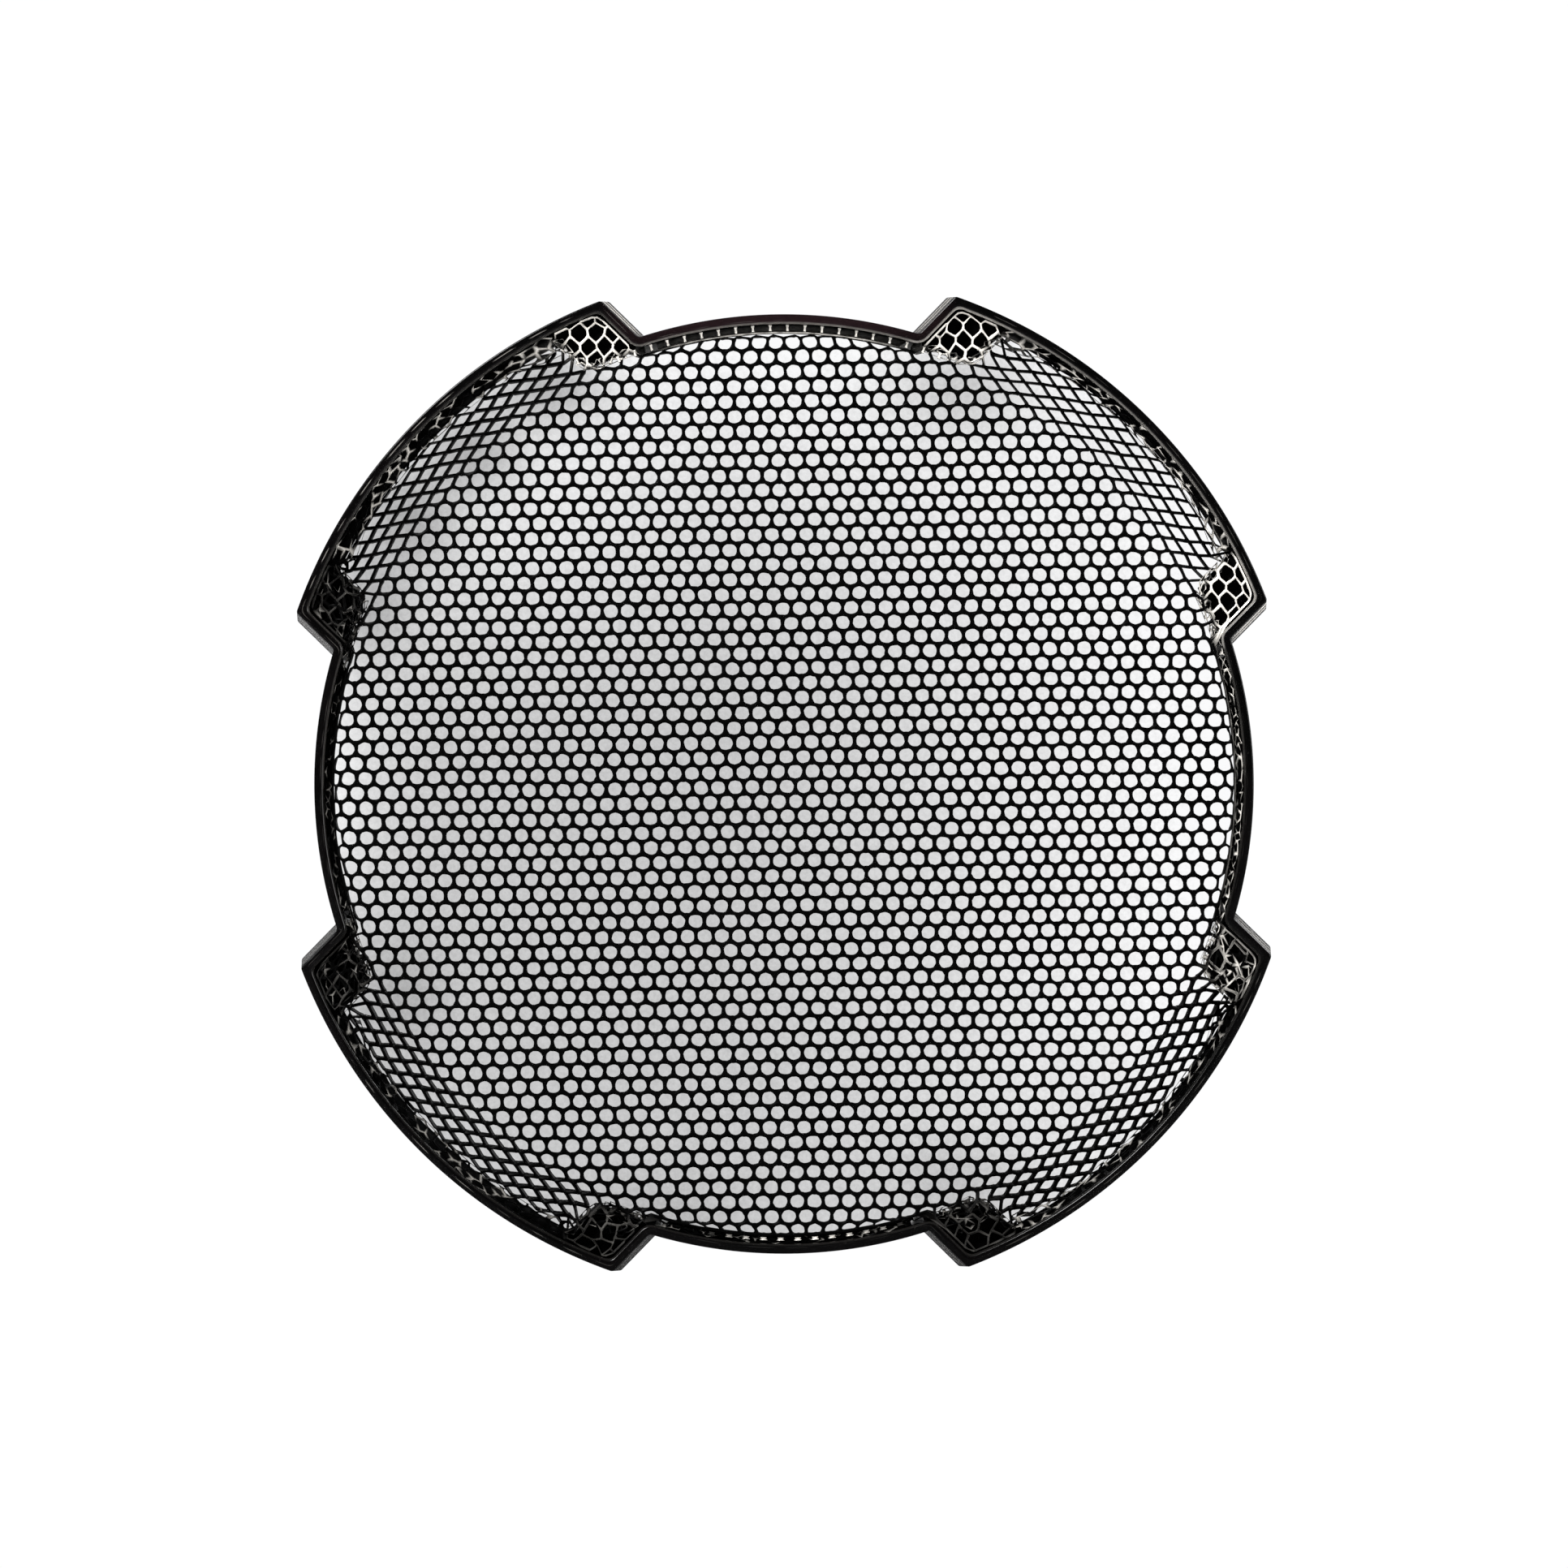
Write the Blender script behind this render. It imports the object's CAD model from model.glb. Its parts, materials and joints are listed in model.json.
"""Looks of a honeycomb grid in a round black frame.

The frame's rim has four wide lugs on the diagonals and four recessed arcs between them.
It holds a thin foil honeycomb that folds back into the lugs; a ring closes the rear.
The grid stands upright around the origin and faces -y.

Lengths are millimetres in the face plane (x to the right, z up), with a depth from the
frame's front face towards the back, until at() turns them into metres. A size ending in
_R is a radius. In a lug, "along" runs outwards through its middle and "across" runs
counter-clockwise from there, seen from the front.
"""

import json
import math
from collections import namedtuple

import bmesh
import bpy
import numpy as np
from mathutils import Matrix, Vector

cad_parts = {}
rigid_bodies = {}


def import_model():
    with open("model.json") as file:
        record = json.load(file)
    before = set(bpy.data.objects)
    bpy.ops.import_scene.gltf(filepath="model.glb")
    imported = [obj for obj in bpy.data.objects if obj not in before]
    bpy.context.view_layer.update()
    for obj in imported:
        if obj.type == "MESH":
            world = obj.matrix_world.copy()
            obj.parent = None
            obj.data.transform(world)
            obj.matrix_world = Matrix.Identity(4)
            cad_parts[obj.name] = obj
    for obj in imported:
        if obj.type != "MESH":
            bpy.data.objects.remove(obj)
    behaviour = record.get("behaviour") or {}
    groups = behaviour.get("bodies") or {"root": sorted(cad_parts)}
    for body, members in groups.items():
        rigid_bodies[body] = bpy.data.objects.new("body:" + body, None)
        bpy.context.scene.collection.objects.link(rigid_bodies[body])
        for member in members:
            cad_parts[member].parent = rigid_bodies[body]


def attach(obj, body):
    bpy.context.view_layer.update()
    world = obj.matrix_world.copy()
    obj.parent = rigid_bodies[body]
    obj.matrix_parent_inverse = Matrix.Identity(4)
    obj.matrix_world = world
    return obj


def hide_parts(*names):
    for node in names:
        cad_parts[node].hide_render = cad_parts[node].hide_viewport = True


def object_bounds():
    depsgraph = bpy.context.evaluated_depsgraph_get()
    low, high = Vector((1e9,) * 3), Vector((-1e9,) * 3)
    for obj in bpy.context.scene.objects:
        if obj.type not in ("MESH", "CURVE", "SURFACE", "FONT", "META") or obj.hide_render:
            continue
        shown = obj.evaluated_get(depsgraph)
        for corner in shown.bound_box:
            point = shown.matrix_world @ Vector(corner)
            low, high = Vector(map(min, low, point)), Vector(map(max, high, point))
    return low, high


for old in list(bpy.data.objects):
    bpy.data.objects.remove(old, do_unlink=True)

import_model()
CAD_LO, CAD_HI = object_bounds()
FRONT = CAD_LO.y  # the front face, in metres
MM = 0.001

# ------------------------------------------------------------------ sizes (mm)
RECESS_R, LUG_R = 86.6, 95.3  # outside of the frame
LUG_HALF, FLARE = 40.1, 1.3  # half width of a lug in front, and its growth to the back
HALF_BACK = LUG_HALF + FLARE
TIP_R, ROOT_R = 0.7, 0.9  # rounding of a lug's outer and inner corners
SHARPEST_TIP = 0.35
WALL, WALL_BACK, LIP = 1.1, 9.7, 1.8  # wall thickness, its rear edge, depth of the lip
LIP_RECESS_R, LIP_LUG_R, LIP_HALF = 84.85, 93.5, 38.4  # inner edge of the lip

RING_FRONT, RING_BACK = 10.0, 12.0
RING_RECESS_R = 83.3
FLOOR_R, FLOOR_ACROSS = 84.9, 29.4  # inner edges of the corner floors

SHEET_END = (92.2, 91.35, 91.65, 92.2)  # radius where the dished sheet ends, by lug
CORE_FRONT, CORE_DEEP = 2.1, 2.0
FOLD_R, SEAT_R = 82.3, 92.0  # the dished part slopes back between these
SLOPE = math.tan(math.radians(33.0))
SQUEEZE = 0.743  # how much shorter the dished part looks from the front

PITCH = 3.175
ROLL = math.radians(0.72)  # the camera is not quite upright
TILT = math.radians(0.945) - ROLL
STEEP = math.radians(61.2) - ROLL
VEC_A = np.array([PITCH * math.cos(TILT), PITCH * math.sin(TILT)])
VEC_B = np.array([math.cos(STEEP), math.sin(STEEP)]) * (PITCH * 0.993)
ORIGIN = np.array([0.528, -0.465])

QUARTERS = ("upper_right", "upper_left", "lower_left", "lower_right")
LUG_ANGLES = [math.radians(a) for a in (45.0, 135.0, 225.0, 315.0)]
LUG_AXES = [
    (np.array([math.cos(a), math.sin(a)]), np.array([-math.sin(a), math.cos(a)]))
    for a in LUG_ANGLES
]
# the two corners of each lug: name, lug, sign of the across direction
CORNERS = [
    (f"{quarter}_{side}", lug, sign)
    for lug, quarter in enumerate(QUARTERS)
    for side, sign in (("a", -1.0), ("b", 1.0))
]


# ------------------------------------------------------------------ small tools
def at(x, z, depth):
    return (x * MM, FRONT + depth * MM, z * MM)


def polar(radius, angle):
    return (radius * math.cos(angle), radius * math.sin(angle))


def from_lug(lug, along, across):
    """Face point from its place along and across a lug."""
    along_axis, across_axis = LUG_AXES[lug]
    return along_axis * along + across_axis * across


def on_radius(lug, radius, across):
    return from_lug(lug, math.sqrt(max(radius**2 - across**2, 0.0)), across)


def nearest_lug(x, z):
    """Index of the nearest lug, and the point's place along it and across it."""
    lug = int(math.floor(math.atan2(z, x) / (math.pi / 2))) % 4
    along, across = LUG_AXES[lug]
    return lug, x * along[0] + z * along[1], x * across[0] + z * across[1]


def smooth(low, high, x):
    """Eases from 0 at low to 1 at high."""
    part = min(max((x - low) / (high - low), 0.0), 1.0)
    return part * part * (3.0 - 2.0 * part)


def wobble(x, z, seed=0.0):
    """Smooth repeatable variation between -1 and 1."""
    return (
        math.sin(x * 0.71 + seed * 1.3 + 1.7 * math.sin(z * 0.37 + seed))
        + math.sin(z * 0.83 - seed * 2.1 + 1.3 * math.sin(x * 0.29 - seed))
    ) * 0.5


def speck(i, j, seed=0):
    """Repeatable random number in 0..1 for a lattice place."""
    bits = (i * 73856093) ^ (j * 19349663) ^ (seed * 83492791)
    bits = (bits ^ (bits >> 13)) * 1274126177 & 0xFFFFFFFF
    return ((bits ^ (bits >> 16)) & 0xFFFF) / 65535.0


def shade(mesh, angle):
    mesh.shade_smooth()
    mesh.set_sharp_from_angle(angle=math.radians(angle))


def new_object(
    name, verts, faces, surface, bare=None, sharp=50.0, weld=False, replaces=None
):
    """Object with faces turned outwards. surface is (material, slot); bare is the bare
    metal attribute, one number or one per vertex; weld drops degenerate faces."""
    material, slot = surface
    mesh = bpy.data.meshes.new(name)
    mesh.from_pydata(verts, [], faces)
    mesh.validate()
    mesh.update()
    obj = bpy.data.objects.new(name, mesh)
    bpy.context.scene.collection.objects.link(obj)
    mesh.materials.append(material)
    if bare is not None:
        layer = mesh.attributes.new("bare", "FLOAT", "POINT")
        layer.data.foreach_set("value", np.full(len(verts), bare, np.float32))
    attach(obj, "root")
    bm = bmesh.new()
    bm.from_mesh(mesh)
    if weld:
        bmesh.ops.dissolve_degenerate(bm, edges=bm.edges, dist=1e-6)
    bmesh.ops.recalc_face_normals(bm, faces=bm.faces)
    bm.to_mesh(mesh)
    bm.free()
    shade(mesh, sharp)
    if replaces:
        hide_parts(replaces)
    return obj


def skin(rows, count, base=0, closed=False):
    """Faces joining rows of count vertices; an open run is capped at both ends."""
    faces = []
    for row in range(rows if closed else rows - 1):
        one = base + row * count
        two = base + (row + 1) % rows * count
        for i in range(count):
            j = (i + 1) % count
            faces.append((one + i, one + j, two + j, two + i))
    if not closed:
        faces.append(tuple(base + i for i in range(count)))
        last = base + (rows - 1) * count
        faces.append(tuple(last + i for i in reversed(range(count))))
    return faces


def cut_away(obj, cutters, sharp):
    """Subtracts the cutters from an object's mesh and removes them."""
    for cutter in cutters:
        cut = obj.modifiers.new("cut", "BOOLEAN")
        cut.operation = "DIFFERENCE"
        cut.object = cutter
        cut.solver = "EXACT"
    graph = bpy.context.evaluated_depsgraph_get()
    mesh = bpy.data.meshes.new_from_object(obj.evaluated_get(graph))
    obj.modifiers.clear()
    obj.data = mesh
    shade(mesh, sharp)
    for cutter in cutters:
        bpy.data.objects.remove(cutter, do_unlink=True)


# ------------------------------------------------------------------ materials
class Shading:
    """A new material and its nodes. Values may be numbers, colours or node outputs."""

    def __init__(self, name):
        self.material = bpy.data.materials.new(name)
        self.material.use_nodes = True
        self.tree = self.material.node_tree
        self.principled = self.tree.nodes["Principled BSDF"]

    def node(self, kind, **values):
        made = self.tree.nodes.new(kind)
        for key, value in values.items():
            if key in made.inputs:
                made.inputs[key].default_value = value
            else:
                setattr(made, key, value)
        return made

    def put(self, socket, value):
        if isinstance(value, (int, float)):
            socket.default_value = value
        elif isinstance(value, tuple):
            socket.default_value = (*value, 1.0)
        else:
            self.tree.links.new(value, socket)

    def feed(self, **values):
        """Sets inputs of the principled shader; underscores stand for spaces."""
        for key, value in values.items():
            self.put(self.principled.inputs[key.replace("_", " ")], value)

    def ramp(self, source, low, high, to_low=0.0, to_high=1.0):
        limits = {"From Min": low, "From Max": high, "To Min": to_low, "To Max": to_high}
        made = self.node("ShaderNodeMapRange", **limits)
        self.put(made.inputs["Value"], source)
        return made.outputs["Result"]

    def calc(self, operation, one, two=None, clamp=False):
        made = self.node("ShaderNodeMath", operation=operation, use_clamp=clamp)
        self.put(made.inputs[0], one)
        if two is not None:
            self.put(made.inputs[1], two)
        return made.outputs[0]

    def plus(self, one, two):
        return self.calc("ADD", one, two)

    def times(self, one, two, clamp=False):
        return self.calc("MULTIPLY", one, two, clamp)

    def mix_colour(self, factor, one, two):
        made = self.node("ShaderNodeMix", data_type="RGBA")
        for socket, value in ((0, factor), (6, one), (7, two)):
            self.put(made.inputs[socket], value)
        return made.outputs[2]

    def mix_value(self, factor, one, two):
        made = self.node("ShaderNodeMix", data_type="FLOAT")
        for socket, value in ((0, factor), (2, one), (3, two)):
            self.put(made.inputs[socket], value)
        return made.outputs[0]

    def mix_shader(self, factor, one, two):
        made = self.node("ShaderNodeMixShader")
        for socket, value in enumerate((factor, one, two)):
            self.put(made.inputs[socket], value)
        return made.outputs[0]

    def split(self, vector):
        made = self.node("ShaderNodeSeparateXYZ")
        self.put(made.inputs[0], vector)
        return made.outputs

    def noise(self, scale, detail=3.0, rough=0.55, stretch=None, distort=0.0):
        source = self.node("ShaderNodeTexCoord").outputs["Object"]
        if stretch:
            mapped = self.node("ShaderNodeMapping", Scale=stretch)
            self.put(mapped.inputs["Vector"], source)
            source = mapped.outputs["Vector"]
        made = self.node(
            "ShaderNodeTexNoise", Scale=scale, Detail=detail, Roughness=rough, Distortion=distort
        )
        self.put(made.inputs["Vector"], source)
        return made.outputs["Fac"]

    def bump(self, height, strength, distance):
        made = self.node("ShaderNodeBump", Strength=strength, Distance=distance)
        self.put(made.inputs["Height"], height)
        self.feed(Normal=made.outputs["Normal"])


DUST = (0.10, 0.095, 0.09)
WARM_BLACK = (0.016, 0.008, 0.0095)


def painted(
    name, black, tint, rough, bare_colour, peel, scratch, shine, coat, dusty=0.08, warm=0.0
):
    """Black paint over metal: orange peel, dust, scratches, and bare metal where the
    attribute bare says so. warm tints the middle of the top edge."""
    mat = Shading(name)
    cloud = mat.ramp(mat.noise(scale=60.0, detail=4.0), low=0.35, high=0.65)
    base = mat.mix_colour(cloud, black, tint)
    streaks = mat.noise(
        scale=420.0, detail=6.0, rough=0.75, stretch=(1.0, 1.0, 6.0), distort=1.2
    )
    lines = mat.ramp(streaks, low=0.66, high=0.74)
    patches = mat.ramp(mat.noise(scale=45.0, detail=2.0), low=0.5, high=0.62)
    worn = mat.times(mat.times(lines, patches), scratch)
    if warm:
        # object coordinates here are metres
        place = mat.split(mat.node("ShaderNodeTexCoord").outputs["Object"])
        high = mat.ramp(place[2], low=0.079, high=0.085, to_high=warm)
        offset = mat.calc("ABSOLUTE", place[0])
        near = mat.ramp(offset, low=0.026, high=0.033, to_low=1.0, to_high=0.0)
        base = mat.mix_colour(mat.times(high, near), base, WARM_BLACK)
    dots = mat.ramp(mat.noise(scale=1500.0, detail=2.0), low=0.68, high=0.8)
    dust = mat.times(dots, dusty)
    base = mat.mix_colour(mat.calc("MAXIMUM", worn, dust), base, DUST)
    chips = mat.noise(scale=900.0, detail=4.0, rough=0.7)
    chips = mat.ramp(chips, low=0.35, high=0.55, to_low=0.78, to_high=1.12)
    attribute = mat.node("ShaderNodeAttribute", attribute_name="bare").outputs["Fac"]
    bare = mat.times(attribute, chips, clamp=True)
    mat.feed(Base_Color=mat.mix_colour(bare, base, bare_colour))
    soft = mat.noise(scale=130.0, detail=3.0)
    soft = mat.ramp(soft, low=0.3, high=0.7, to_low=rough - 0.03, to_high=rough + 0.05)
    bare_rough = 0.42
    mat.feed(Roughness=mat.mix_value(bare, soft, bare_rough))
    bare_metallic = 0.35
    mat.feed(Metallic=mat.times(bare, bare_metallic))
    mat.feed(Specular_IOR_Level=shine, Coat_Weight=coat, Coat_Roughness=0.12)
    mat.bump(mat.noise(scale=900.0, detail=2.0), strength=peel, distance=0.00008)
    return mat.material


def screw_steel():
    mat = Shading("screw_black_oxide")
    grain = mat.noise(scale=2500.0, detail=4.0, rough=0.7)
    worn = mat.ramp(grain, low=0.4, high=0.7)
    dark, pale = (0.045, 0.045, 0.05), (0.12, 0.115, 0.11)
    mat.feed(Base_Color=mat.mix_colour(worn, dark, pale), Metallic=1.0)
    mat.feed(Roughness=mat.ramp(grain, low=0.3, high=0.7, to_low=0.28, to_high=0.5))
    mat.bump(grain, strength=0.3, distance=0.00005)
    return mat.material


def pad_rubber():
    mat = Shading("pad_rubber")
    grain = mat.noise(scale=3200.0, detail=5.0, rough=0.8)
    dusty = mat.ramp(mat.noise(scale=140.0, detail=4.0), low=0.5, high=0.75, to_high=0.5)
    clean, dusted = (0.014, 0.014, 0.014), (0.045, 0.043, 0.04)
    mat.feed(Base_Color=mat.mix_colour(dusty, clean, dusted))
    mat.feed(Roughness=mat.ramp(grain, low=0.3, high=0.7, to_low=0.7, to_high=0.95))
    mat.bump(grain, strength=0.6, distance=0.0001)
    return mat.material


# each surface: material, slot
FRAME_PAINT = (
    painted(
        "frame_gloss_black",
        black=(0.0005, 0.0005, 0.0005),
        tint=(0.0014, 0.0011, 0.0012),
        rough=0.17,
        bare_colour=(0.80, 0.76, 0.70),
        peel=0.15,
        scratch=0.14,
        shine=0.14,
        coat=0.05,
        warm=0.45,
    ),
    "frame_paint",
)
RING_PAINT = (
    painted(
        "ring_satin_black",
        black=(0.0010, 0.0010, 0.0010),
        tint=(0.0026, 0.0025, 0.0025),
        rough=0.34,
        bare_colour=(0.72, 0.70, 0.67),
        peel=0.4,
        scratch=0.2,
        shine=0.25,
        coat=0.05,
    ),
    "ring_paint",
)
CORE_PAINT = (
    painted(
        "core_black_foil",
        black=(0.0005, 0.0005, 0.0005),
        tint=(0.0011, 0.0011, 0.0011),
        rough=0.36,
        bare_colour=(0.93, 0.89, 0.82),
        peel=0.4,
        scratch=0.04,
        shine=0.02,
        coat=0.0,
        dusty=0.02,
    ),
    "core_paint",
)
PLATE_PAINT = (
    painted(
        "plate_matt_black",
        black=(0.0006, 0.0006, 0.0006),
        tint=(0.0016, 0.0014, 0.0015),
        rough=0.5,
        bare_colour=(0.5, 0.5, 0.5),
        peel=0.5,
        scratch=0.1,
        shine=0.02,
        coat=0.0,
    ),
    "plate_paint",
)
SCREW_STEEL = (screw_steel(), "screw_steel")
PAD_RUBBER = (pad_rubber(), "pad_rubber")

# ------------------------------------------------------------------ outlines
ARC_STEPS, LUG_STEPS, FILLET_STEPS, SIDE_STEPS = 40, 100, 6, 5


def fillet(centre, radius, start, stop):
    points = []
    for i in range(FILLET_STEPS + 1):
        x, z = polar(radius, start + (stop - start) * i / FILLET_STEPS)
        points.append((centre[0] + x, centre[1] + z))
    return points


def outline(recess_r, lug_r, half, tip_r, root_r):
    """Closed outline with four lugs; a quarter is drawn as (along, across) and turned."""
    root = (math.sqrt((recess_r + root_r) ** 2 - (half + root_r) ** 2), half + root_r)
    tip = (math.sqrt((lug_r - tip_r) ** 2 - (half - tip_r) ** 2), half - tip_r)
    side = fillet(tip, tip_r, math.atan2(tip[1], tip[0]), math.pi / 2)
    outer = side[-1][0]
    side += [
        (outer + (root[0] - outer) * i / SIDE_STEPS, half) for i in range(1, SIDE_STEPS)
    ]
    side += fillet(root, root_r, -math.pi / 2, math.atan2(-root[1], -root[0]))
    lug_end = math.atan2(side[0][1], side[0][0])
    root_end = math.atan2(side[-1][1], side[-1][0])
    quarter = [(along, -across) for along, across in reversed(side)]
    quarter += [
        polar(lug_r, lug_end * (2.0 * i / LUG_STEPS - 1.0)) for i in range(1, LUG_STEPS)
    ]
    quarter += side
    gap = math.pi / 2 - 2.0 * root_end
    quarter += [
        polar(recess_r, root_end + gap * i / ARC_STEPS) for i in range(1, ARC_STEPS)
    ]
    return [tuple(from_lug(lug, *point)) for lug in range(4) for point in quarter]


def rim_outline(inset, half):
    """The outside of the rim, drawn in by an inset."""
    return outline(
        RECESS_R - inset,
        LUG_R - inset,
        half - inset,
        max(TIP_R - inset, SHARPEST_TIP),
        ROOT_R + inset,
    )


def ring_loft(name, sections, surface, replaces):
    """Closed ring through (outline, depth, bare); depth and bare may be one per point."""
    count = len(sections[0][0])
    verts, bare = [], []
    for points, depths, shine in sections:
        for (x, z), depth in zip(points, np.broadcast_to(depths, count)):
            verts.append(at(x, z, depth))
        bare.extend(np.broadcast_to(shine, count))
    faces = skin(len(sections), count, closed=True)
    return new_object(name, verts, faces, surface, bare, replaces=replaces)


# ------------------------------------------------------------------ front frame
LIP_GLOW = (0.03, 0.03, 0.01, 0.012)  # bare metal on the lip's inner edge, by lug
DASH_WEAR = (0.02, 0.15, 0.07, 0.03)  # worn dashes on the lip's front, by lug
# worn bands on the lugs' sides, by lug: where across is negative, where it is positive
SIDE_WEAR = ((1.0, 0.5), (0.9, 0.15), (0.10, 0.10), (0.2, 0.4))
FRONT_ROUND = 0.24  # rounding of the front edge
# the outer wall behind that edge: depth, wear of the lugs' sides
WALL_STATIONS = (
    (1.9, 0.0), (2.3, 0.60), (3.7, 0.70), (4.2, 0.05), (5.4, 0.05),
    (5.8, 0.60), (7.0, 0.70), (7.4, 0.0), (WALL_BACK - 0.25, 0.0),
)
# the lip's inner edge, from back to front: growth of the opening, depth, brightness
LIP_STATIONS = (
    (0.0, LIP - 0.15, 0.5), (0.0, 0.55, 1.0), (0.10, 0.25, 0.95), (0.26, 0.06, 0.45),
)
# the worn line on the lip's front: growth of the opening, wear
DASH_STATIONS = ((0.90, 0.0), (0.97, 1.0), (1.05, 1.0), (1.12, 0.0))


def edge_glow(points, weight):
    """Brightness of the lip's bare inner edge: strongest in the top arc."""
    glow = []
    for x, z in points:
        lug, _, across = nearest_lug(x, z)
        angle = math.degrees(math.atan2(z, x))
        strength = LIP_GLOW[lug]
        strength += 0.11 * smooth(69.0, 73.0, angle) * (1.0 - smooth(107.0, 111.0, angle))
        if lug == 0 and abs(across) < LUG_HALF:
            strength = max(strength, 0.16 + 0.16 * smooth(24.0, 34.0, abs(across)))
        glow.append(strength * weight)
    return glow


def side_wear(points, weight):
    """The drafted sides of the lugs are worn to metal in two bands."""
    worn = []
    for x, z in points:
        lug, _, across = nearest_lug(x, z)
        on_side = smooth(LUG_HALF - 0.9, LUG_HALF - 0.1, abs(across)) * smooth(
            RECESS_R + 0.1, RECESS_R + 1.0, math.hypot(x, z)
        )
        worn.append(on_side * SIDE_WEAR[lug][int(across > 0)] * weight)
    return worn


def dash_wear(points, weight):
    worn = []
    for x, z in points:
        lug, _, across = nearest_lug(x, z)
        dash = smooth(0.05, 0.5, wobble(x * 1.1, z * 1.3, 4.0))
        middle = 1.0 if abs(across) < 36.0 else 0.2
        worn.append(weight * dash * DASH_WEAR[lug] * middle)
    return worn


def frame_shell():
    def lip(grow):
        return outline(
            LIP_RECESS_R + grow,
            LIP_LUG_R + grow,
            LIP_HALF + grow,
            1.9 - grow * 0.5,
            2.6 - grow,
        )

    def wall_inside(half, grow=0.0):
        return outline(
            RECESS_R - WALL + grow, LUG_R - WALL + grow, half + grow, 0.5, ROOT_R + 1.0
        )

    def wall_outside(inset, depth):
        return rim_outline(inset, LUG_HALF + FLARE * depth / WALL_BACK)

    sections = []
    for degrees in (90.0, 60.0, 30.0, 0.0):
        angle = math.radians(degrees)
        inset = FRONT_ROUND - FRONT_ROUND * math.cos(angle)
        depth = FRONT_ROUND - FRONT_ROUND * math.sin(angle)
        sections.append((wall_outside(inset, depth), depth, 0.0))
    for depth, weight in WALL_STATIONS:
        points = wall_outside(0.0, depth)
        sections.append((points, depth, side_wear(points, weight)))
    sections += [
        (wall_outside(0.22, WALL_BACK), WALL_BACK, 0.0),
        (wall_inside(HALF_BACK - WALL, grow=0.2), WALL_BACK, 0.0),
        (wall_inside(HALF_BACK - WALL), WALL_BACK - 0.3, 0.0),
        (wall_inside(LUG_HALF - 1.3), LIP, 0.0),
        (lip(0.12), LIP, 0.0),
    ]
    for grow, depth, weight in LIP_STATIONS:
        points = lip(grow)
        sections.append((points, depth, edge_glow(points, weight)))
    sections.append((lip(0.42), 0.0, 0.0))
    for grow, weight in DASH_STATIONS:
        points = outline(
            LIP_RECESS_R + grow * 0.6, LIP_LUG_R + grow, LIP_HALF + grow, 1.6, 2.6 - grow
        )
        sections.append((points, 0.0, dash_wear(points, weight)))
    ring_loft("front_frame_shell", sections, FRAME_PAINT, replaces="front_frame")


frame_shell()

# ------------------------------------------------------------------ screw posts
POST_ALONG, POST_ACROSS = 83.4, 36.6
# name, x, z of the posts, which the ring's sinks and screws share
POST_SPOTS = [
    (corner, *map(float, from_lug(lug, POST_ALONG, POST_ACROSS * sign)))
    for corner, lug, sign in CORNERS
]
# a post with a blind hole in its rear end: radius, depth
POST_PROFILE = (
    (0.0, 6.1), (3.0, 6.1), (3.2, 6.3), (3.2, 9.0), (3.05, 9.15),
    (1.6, 9.15), (1.5, 8.9), (1.5, 7.1), (0.0, 7.1),
)


def turned(name, x, z, profile, steps, surface, bare=None):
    """A round piece along the depth through (x, z) from (radius, depth) pairs."""
    verts, faces, rows = [], [], []
    for radius, depth in profile:
        if radius < 1e-6:
            rows.append([len(verts)])
            verts.append(at(x, z, depth))
        else:
            rows.append(list(range(len(verts), len(verts) + steps)))
            for i in range(steps):
                dx, dz = polar(radius, 2.0 * math.pi * i / steps)
                verts.append(at(x + dx, z + dz, depth))
    for one, two in zip(rows, rows[1:]):
        for i in range(steps):
            j = (i + 1) % steps
            if len(one) == 1:
                faces.append((one[0], two[j], two[i]))
            elif len(two) == 1:
                faces.append((one[i], one[j], two[0]))
            else:
                faces.append((one[i], one[j], two[j], two[i]))
    return new_object(name, verts, faces, surface, bare, sharp=40.0)


for corner, x, z in POST_SPOTS:
    turned(f"frame_post_{corner}", x, z, POST_PROFILE, 32, FRAME_PAINT, bare=0.0)

# ------------------------------------------------------------------ rear ring
RING_ROUND = 0.5  # rounding of the rear edge
FLANGE_INSET = WALL + 0.4
SINK_R, SINK_DEEP, SINK_TOOL = 2.7, 1.1, 3.0  # screw sinks, and their cutter's length


def core_drop(radius):
    """How far back the dished sheet lies at a radius."""
    return (min(max(radius, FOLD_R), SEAT_R) - FOLD_R) * SLOPE


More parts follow.
